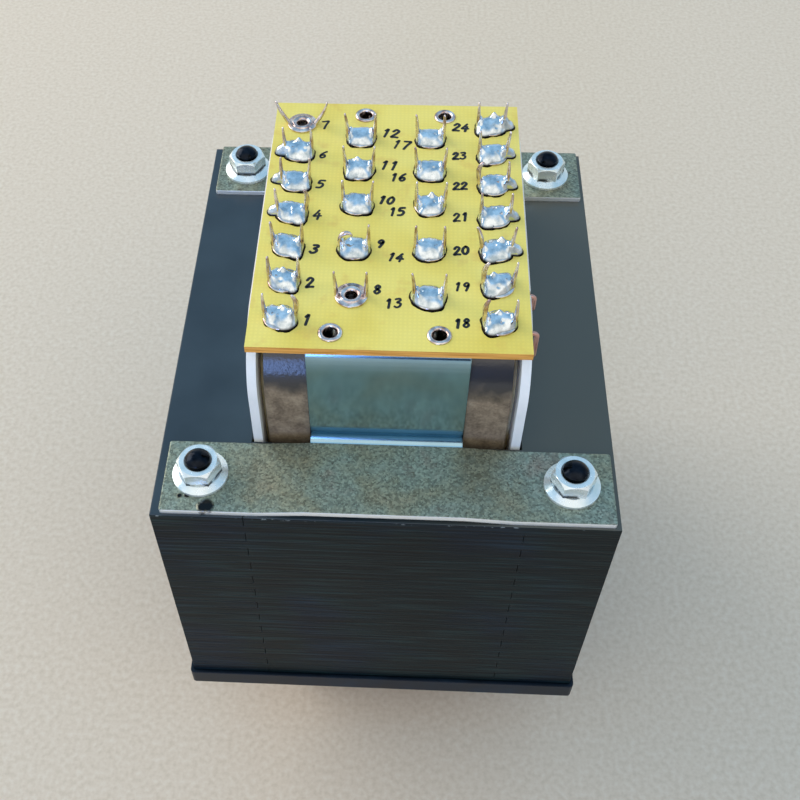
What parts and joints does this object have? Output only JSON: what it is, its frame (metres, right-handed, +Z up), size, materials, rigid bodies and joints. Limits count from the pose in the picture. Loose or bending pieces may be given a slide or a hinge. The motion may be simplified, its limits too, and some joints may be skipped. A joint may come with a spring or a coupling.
{
  "type": "tube amplifier power transformer",
  "caption": "Laminated EI power transformer with a yellow terminal board of soldered lugs on top, clamp strips with flange nuts and a black pressed end bell below.",
  "frame": {"origin": "middle of the flat foot of the end bell", "axes": "+Z up from the end bell to the terminal board, +Y to the rear of the board, +X along the axis of the coil"},
  "size_m": [0.097, 0.116, 0.1455],
  "materials": {
    "core_varnish": "black varnished laminations",
    "bobbin_white": "white moulding",
    "enamelled_copper": "enamelled copper wire",
    "insulation_paper": "pale insulating paper",
    "kraft_wrap": "brown kraft paper",
    "tinned_sheet": "bright tinned sheet",
    "chromated_zinc": "olive chromated zinc",
    "board_laminate": "yellow laminate",
    "tinned_brass": "tinned brass lugs",
    "solder": "bright solder",
    "black_steel": "blackened bolts",
    "bright_zinc": "bright zinc nuts",
    "black_paint": "black painted pressing"
  },
  "bodies": {
    "root": {"e_laminations": "core_varnish", "i_laminations": "core_varnish", "bobbin": "bobbin_white", "primary_winding": "enamelled_copper", "primary_insulation": "insulation_paper", "ht_winding": "enamelled_copper", "ht_insulation": "insulation_paper", "heater_winding": "enamelled_copper", "outer_wrap": "kraft_wrap", "front_bracket": "tinned_sheet", "rear_bracket": "tinned_sheet", "front_strip": "chromated_zinc", "rear_strip": "chromated_zinc", "terminal_board": "board_laminate", "board_eyelets": "tinned_brass", "primary_lugs": "tinned_brass", "ht_lugs": "tinned_brass", "heater_lugs": "tinned_brass", "primary_leads": "enamelled_copper", "ht_leads": "enamelled_copper", "heater_leads": "enamelled_copper", "primary_solder": "solder", "ht_solder": "solder", "heater_solder": "solder", "through_bolts": "black_steel", "flange_nuts": "bright_zinc", "end_bell": "black_paint"}
  },
  "joints": []
}
